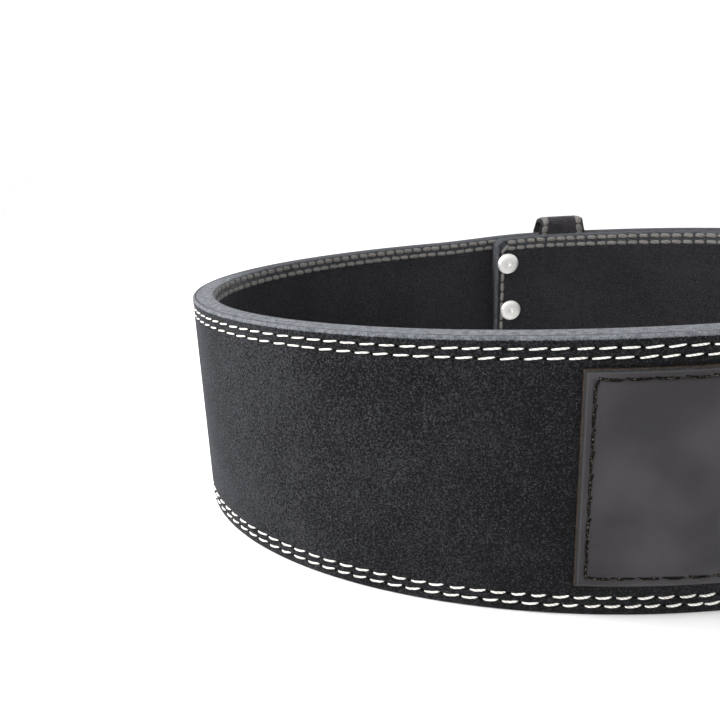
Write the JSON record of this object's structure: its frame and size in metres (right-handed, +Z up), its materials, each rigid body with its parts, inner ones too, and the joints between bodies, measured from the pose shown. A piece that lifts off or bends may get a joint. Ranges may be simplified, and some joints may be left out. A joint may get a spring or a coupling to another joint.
{
  "type": "weightlifting belt",
  "caption": "Wide stiff leather belt in two sewn layers, fastened in an oval, with a keeper loop, riveted inner end, back patch and flat clasp.",
  "frame": {"origin": "middle of the belt's footprint on the surface it stands on", "axes": "+X along the belt's longest way across, towards the wearer's right side as worn, +Y towards the fastening at the wearer's front, +Z up from the standing edge"},
  "size_m": [0.356, 0.2538, 0.1125],
  "materials": {
    "edge_leather": "dyed black leather with a matt grey cut edge",
    "suede": "charcoal suede",
    "keeper_leather": "charcoal suede",
    "patch_leather": "smooth semi-gloss dark leather",
    "rivet_metal": "bright nickel plate",
    "clasp_metal": "satin steel"
  },
  "bodies": {
    "root": {"inner_leather": "edge_leather", "outer_suede": "suede", "keeper": "keeper_leather", "back_patch": "patch_leather", "rivet_top": "rivet_metal", "rivet_middle": "rivet_metal", "rivet_bottom": "rivet_metal", "clasp": "clasp_metal"}
  },
  "joints": []
}
